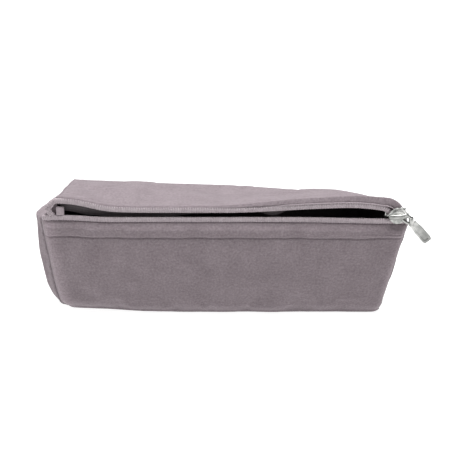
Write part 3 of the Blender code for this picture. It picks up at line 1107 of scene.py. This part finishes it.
def makeRightTapeEnd():  # where the tape goes on past the slider, behind the bottom stop
    low, high = (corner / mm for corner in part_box("right_tape_end"))
    grid = []
    for v in np.linspace(0, 1, 12):
        cut = low.x - 1.6 - 1.2 * abs(2 * v - 1) ** 3  # rounded at both corners
        row = []
        for u in np.linspace(0, 1, 14):
            row.append(Vector((lerp(low.x - 4.5, cut, u), high.y + 0.2 - 0.5 * u ** 2, lerp(low.z, high.z, v))))
        grid.append(row)
    tail = sew("rightTapeEnd", grid, zipper["tape"], tapeFinish, "zip_tape", "right_tape_end")
    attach(tail, "pouch")


def stitchRow(name, places, radius, material):
    # each stitch is a short thread that dips into the felt at both ends
    verts, faces = [], []
    sides, rings = 6, 5
    for start, end, out in places:
        along = (end - start).normalized()
        side = out.cross(along).normalized()
        first = len(verts)
        for r in range(rings):
            t = r / (rings - 1)
            centre = start.lerp(end, t) + out * (radius * (1.5 * math.sin(math.pi * t) - 0.7))
            size = radius * (0.45 + 0.55 * math.sin(math.pi * t) ** 0.5)
            for s in range(sides):
                turn = 2 * math.pi * s / sides
                verts.append(centre + (out * math.cos(turn) + side * math.sin(turn)) * size)
        for r in range(rings - 1):
            for s in range(sides):
                a = first + r * sides
                b = a + sides
                t = (s + 1) % sides
                faces.append((a + s, a + t, b + t, b + s))
        faces.append(tuple(first + s for s in reversed(range(sides))))
        faces.append(tuple(first + (rings - 1) * sides + s for s in range(sides)))
    mesh = bpy.data.meshes.new(name)
    mesh.from_pydata([v * mm for v in verts], [], faces)
    bm = bmesh.new()
    bm.from_mesh(mesh)
    bmesh.ops.recalc_face_normals(bm, faces=bm.faces)
    bm.to_mesh(mesh)
    bm.free()
    mesh.shade_smooth()
    obj = bpy.data.objects.new(name, mesh)
    scene.collection.objects.link(obj)
    mesh.materials.append(material)
    return obj


stitching = {"pitch": 3.0, "length": 2.3, "radius": 0.17, "left": -91.5, "right": 91.0}


def surfaceFinder(name):  # finds a wall's outer face straight ahead of a point
    wall = bpy.data.objects[name]
    bpy.context.view_layer.update()

    def find(point, way):
        hit, place = wall.ray_cast(Vector(point) * mm, Vector(way))[:2]
        return place / mm if hit else Vector(point)
    return find


def makeStitches():
    find = surfaceFinder("frontWall")
    places = []
    x = stitching["left"]
    while x < stitching["right"]:
        ends = []
        for at in (x, x + stitching["length"]):
            z = frontFold(at) - hemDepth(at)
            ends.append(find((at, -30, z), (0, 1, 0)))
        places.append((ends[0], ends[1], Vector((0, -1, 0))))
        x += stitching["pitch"]
    seam = stitchRow("hemStitches", places, stitching["radius"], threadFinish)
    bendWith(seam, frontWeight)


makeCoils()
makeFrontTape()
makeBackTape()
makeFoldedEnd()
makeRightTapeEnd()
makeStitches()
print("zip sewn in")


# Metal pieces, each from a primitive shaped in edit mode or from a bent wire

slider = {
    "long": 9.4,
    "tall": 8.8,
    "plate": 1.0,
    "rearShare": 0.62,  # height of the rear plate against the front one
    "rimWire": 0.55,
    "rimRise": 3.35,  # of both rims, above and below the middle
    "bailWire": 0.75,
    "bailLift": 1.75,
    "bailWiden": 1.8,
}


def pick(obj, kind, test):  # chooses points or faces by place and normal
    bpy.ops.object.mode_set(mode="EDIT")
    bpy.ops.mesh.select_mode(type=kind)
    bpy.ops.mesh.select_all(action="DESELECT")
    bm = bmesh.from_edit_mesh(obj.data)
    for thing in (bm.verts if kind == "VERT" else bm.faces):
        at = thing.co if kind == "VERT" else thing.calc_center_median()
        thing.select = bool(test(at / mm, thing.normal))
    bm.select_flush(True)
    bmesh.update_edit_mesh(obj.data)


def startPiece(name, adder, **values):
    if bpy.context.object and bpy.context.object.mode == "EDIT":
        bpy.ops.object.mode_set(mode="OBJECT")
    bpy.ops.object.select_all(action="DESELECT")
    adder(**values)
    obj = bpy.context.object
    obj.name = name
    obj.data.name = name
    bpy.ops.object.transform_apply(location=True, rotation=True, scale=True)
    return obj


def endPiece(obj, bevel, segments=3, subdivide=0, angle=35):
    if bpy.context.object.mode == "EDIT":
        bpy.ops.object.mode_set(mode="OBJECT")
    rounded = obj.modifiers.new("softEdges", "BEVEL")
    rounded.width = bevel * mm
    rounded.segments = segments
    rounded.limit_method = "ANGLE"
    rounded.angle_limit = math.radians(angle)
    if subdivide:
        smooth = obj.modifiers.new("smooth", "SUBSURF")
        smooth.levels = subdivide
        smooth.render_levels = subdivide
    applyModifiers(obj)
    bpy.ops.object.shade_smooth_by_angle(angle=math.radians(40))
    return obj


def shieldPlate(name, centre, long, tall, thick):
    # a disc drawn out to a blunt nose at the left, its front face raised in the middle
    plate = startPiece(name, bpy.ops.mesh.primitive_cylinder_add, vertices=48, radius=0.5 * mm,
                       depth=thick * mm, location=centre * mm, rotation=(math.pi / 2, 0, 0))
    bpy.ops.object.mode_set(mode="EDIT")
    bpy.ops.mesh.select_all(action="SELECT")
    bpy.ops.transform.resize(value=(long, 1, tall), center_override=centre * mm)
    for share, factor in ((0.16, 0.97), (0.28, 0.92), (0.38, 0.86), (0.45, 0.82)):
        pick(plate, "VERT", lambda at, way: at.x < centre.x - share * long)
        bpy.ops.transform.resize(value=(1, 1, factor), center_override=centre * mm)
    pick(plate, "FACE", lambda at, way: way.y < -0.9)
    bpy.ops.mesh.inset(thickness=0.7 * mm, depth=0)
    bpy.ops.mesh.inset(thickness=0.5 * mm, depth=0.28 * mm)
    bpy.ops.mesh.inset(thickness=1.1 * mm, depth=0.12 * mm)
    return endPiece(plate, 0.22)


def finishMetal(obj, body, slotName, material, *nodes):
    obj.data.materials.clear()
    obj.data.materials.append(material)
    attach(obj, body)
    if nodes:
        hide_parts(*nodes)


def wireLoop(name, points, radius, closed, sides=12):
    # a bent wire: a curve with a round section, made a mesh and welded
    curve = bpy.data.curves.new(name, "CURVE")
    curve.dimensions = "3D"
    curve.bevel_depth = radius * mm
    curve.bevel_resolution = sides // 4
    curve.use_fill_caps = not closed
    spline = curve.splines.new("POLY")
    spline.points.add(len(points) - 1)
    for point, place in zip(spline.points, points):
        point.co = (*(Vector(place) * mm), 1)
    spline.use_cyclic_u = closed
    bent = bpy.data.objects.new(name + "Curve", curve)
    scene.collection.objects.link(bent)
    bpy.context.view_layer.update()
    mesh = bpy.data.meshes.new_from_object(bent.evaluated_get(bpy.context.evaluated_depsgraph_get()))
    mesh.name = name
    bpy.data.objects.remove(bent)
    bm = bmesh.new()
    bm.from_mesh(mesh)
    bmesh.ops.remove_doubles(bm, verts=bm.verts, dist=0.00001)
    bmesh.ops.recalc_face_normals(bm, faces=bm.faces)
    bm.to_mesh(mesh)
    bm.free()
    mesh.shade_smooth()
    obj = bpy.data.objects.new(name, mesh)
    scene.collection.objects.link(obj)
    return obj


def makeSlider():
    low, high = (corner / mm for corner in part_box("slider_body"))
    centre = (low + high) / 2 + Vector((0.8, 0, 1.0))
    front = Vector((centre.x, low.y + slider["plate"] / 2, centre.z))
    plate = shieldPlate("sliderFrontPlate", front, slider["long"], slider["tall"], slider["plate"])
    finishMetal(plate, "slider", "slider_metal", sliderFinish, "slider_body")
    rear = Vector((centre.x, high.y - slider["plate"] / 2, centre.z))
    rearTall = slider["tall"] * slider["rearShare"]
    backPlate = shieldPlate("sliderRearPlate", rear, slider["long"], rearTall, slider["plate"])
    finishMetal(backPlate, "slider", "slider_metal", sliderFinish)

    # the wedge that parts the coils joins the two plates at the nose
    nose = Vector((low.x + 2.4, (front.y + rear.y) / 2, centre.z))
    post = startPiece("sliderPost", bpy.ops.mesh.primitive_cylinder_add, vertices=24, radius=0.7 * mm,
                      depth=(rear.y - front.y) * mm, location=nose * mm, rotation=(math.pi / 2, 0, 0))
    pick(post, "VERT", lambda at, way: at.x < nose.x)
    bpy.ops.transform.resize(value=(1.6, 1, 0.7), center_override=nose * mm)
    endPiece(post, 0.08)
    finishMetal(post, "slider", "slider_metal", sliderFinish)

    # rolled rims of the front plate turn back over the coils, above and below
    for name, sign in (("sliderUpperRim", 1), ("sliderLowerRim", -1)):
        points = []
        for k in range(13):
            t = k / 12
            x = lerp(centre.x - 2.6, centre.x + 4.0, t)
            rise = slider["rimRise"] + 0.35 * math.sin(math.pi * t) - 1.1 * ease(0.25, 0, t)
            points.append((x, front.y + 0.75, centre.z + sign * rise))
        rim = wireLoop(name, points, slider["rimWire"], False)
        finishMetal(rim, "slider", "slider_metal", sliderFinish)

    # the bail: a thick strap that arches over the plate's face, high at its right end
    bailLow, bailHigh = (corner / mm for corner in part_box("slider_bail"))
    points = []
    for k in range(21):
        t = k / 20
        x = lerp(bailLow.x - 0.4, bailHigh.x + 1.2, t)
        out = slider["bailLift"] * math.sin(math.pi * t) ** 0.55 * (0.75 + 0.25 * t)
        points.append((x, front.y - 0.3 - out, centre.z - 0.3 + 0.5 * t))
    bail = wireLoop("sliderBail", points, slider["bailWire"], False, 16)
    applyStretch(bail, centre.z, slider["bailWiden"])
    finishMetal(bail, "slider", "slider_metal", bailFinish, "slider_bail")


def applyStretch(obj, level, factor):  # widens a strap up and down about a height
    bpy.ops.object.select_all(action="DESELECT")
    bpy.context.view_layer.objects.active = obj
    obj.select_set(True)
    bpy.ops.object.mode_set(mode="EDIT")
    bpy.ops.mesh.select_all(action="SELECT")
    bpy.ops.transform.resize(value=(1, 1, factor), center_override=(0, 0, level * mm))
    bpy.ops.object.mode_set(mode="OBJECT")


pull = {
    "wire": 0.80,
    "eyeWide": 3.3,
    "collarRadius": 1.45,
    "collarLong": 5.2,
    "lift": 2.2,  # the collar sits this far above the hinge line's end
    "tabWide": 4.9,
    "tabThick": 1.1,
    "tabLong": 13.2,
    "tabDroop": 49.0,
}


def makePull():
    pivot = Vector(joints["ring_swing"]["pos_m"]) / mm
    hinge = Vector(joints["tab_swing"]["pos_m"]) / mm
    collarAt = hinge + Vector((0.2, 0, pull["lift"]))
    eyeFrom = pivot + Vector((0.6, 0, 0.9))
    run = (collarAt - eyeFrom).normalized()
    across = Vector((0, 1, 0)).cross(run)
    long = (collarAt - eyeFrom).length

    points = []
    for k in range(40):  # the eye, round at the bail and squarer at the collar
        turn = 2 * math.pi * k / 40
        c, s = math.cos(turn), math.sin(turn)
        reach = (long / 2 + 0.2) * (abs(c) ** 0.85) * (1 if c > 0 else -1)
        wide = pull["eyeWide"] / 2 * (abs(s) ** 0.8) * (1 if s > 0 else -1)
        points.append((eyeFrom + collarAt) / 2 + run * reach + across * wide)
    ring = wireLoop("pullRing", points, pull["wire"], True)
    finishMetal(ring, "pull_ring", "slider_metal", sliderFinish, "pull_ring")

    # the collar, upright on the ring's far side, its two end faces sunk a little
    collar = startPiece("pullCollar", bpy.ops.mesh.primitive_cylinder_add, vertices=32,
                        radius=pull["collarRadius"] * mm, depth=pull["collarLong"] * mm,
                        location=collarAt * mm, rotation=(0, math.radians(-8), 0))
    pick(collar, "FACE", lambda at, way: abs(way.z) > 0.9)
    bpy.ops.mesh.inset(thickness=0.35 * mm, depth=-0.2 * mm)
    endPiece(collar, 0.22)
    finishMetal(collar, "pull_tab", "slider_metal", sliderFinish)

    # the tab: a block drawn out along its run, narrow at the collar, with a pressed panel
    droop = math.radians(pull["tabDroop"])
    way = Vector((math.cos(droop), 0, -math.sin(droop)))
    middle = collarAt + way * (pull["tabLong"] / 2 + 0.9)
    tab = startPiece("pullTab", bpy.ops.mesh.primitive_cube_add, size=1 * mm, location=(0, 0, 0))
    bpy.ops.object.mode_set(mode="EDIT")
    bpy.ops.mesh.select_all(action="SELECT")
    bpy.ops.mesh.subdivide(number_cuts=9)
    bpy.ops.transform.resize(value=(pull["tabLong"], pull["tabThick"], pull["tabWide"]),
                             center_override=(0, 0, 0))
    for share, factor in ((0.15, 0.95), (0.25, 0.92), (0.35, 0.90), (0.44, 0.95)):
        pick(tab, "VERT", lambda at, normal: at.x < -share * pull["tabLong"])
        bpy.ops.transform.resize(value=(1, 1, factor), center_override=(0, 0, 0))
    pick(tab, "VERT", lambda at, normal: at.x > 0.47 * pull["tabLong"])
    bpy.ops.transform.resize(value=(1, 0.9, 0.8), center_override=(0, 0, 0))
    pick(tab, "FACE", lambda at, normal: normal.y < -0.9 and abs(at.x) < 0.40 * pull["tabLong"]
         and abs(at.z) < 0.26 * pull["tabWide"])
    bpy.ops.mesh.inset(thickness=0.25 * mm, depth=-0.16 * mm)
    bpy.ops.object.mode_set(mode="OBJECT")
    tab.rotation_euler = (0, droop, 0)
    tab.location = (middle + Vector((0, -0.15, 0))) * mm
    bpy.ops.object.select_all(action="DESELECT")
    tab.select_set(True)
    bpy.context.view_layer.objects.active = tab
    bpy.ops.object.transform_apply(location=True, rotation=True, scale=True)
    endPiece(tab, 0.2, angle=50)
    finishMetal(tab, "pull_tab", "slider_metal", tabFinish, "pull_tab")


def makeStops():
    places = (  # name, node, body, and how far it is tucked in from the node's middle
        ("frontTopStop", "front_top_stop", "pouch", (0.4, 0.9, 0.3)),
        ("backTopStop", "back_top_stop", "lid", (0, 0, 0)),
        ("bottomStop", "bottom_stop", "pouch", (-3.2, 0, 0)),
    )
    for name, node, body, tucked in places:
        low, high = (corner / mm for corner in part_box(node))
        centre = (low + high) / 2 + Vector(tucked)
        stop = startPiece(name, bpy.ops.mesh.primitive_cube_add, size=1 * mm, location=centre * mm)
        bpy.ops.object.mode_set(mode="EDIT")
        bpy.ops.mesh.select_all(action="SELECT")
        size = (high - low) * 0.8
        bpy.ops.transform.resize(value=tuple(size), center_override=centre * mm)
        pick(stop, "FACE", lambda at, way: way.y < -0.9)
        bpy.ops.mesh.inset(thickness=0.25 * mm, depth=0.12 * mm)
        endPiece(stop, 0.3)
        finishMetal(stop, body, "stop_metal", stopFinish, node)


makeSlider()
makePull()
makeStops()
print("metal pieces ready")
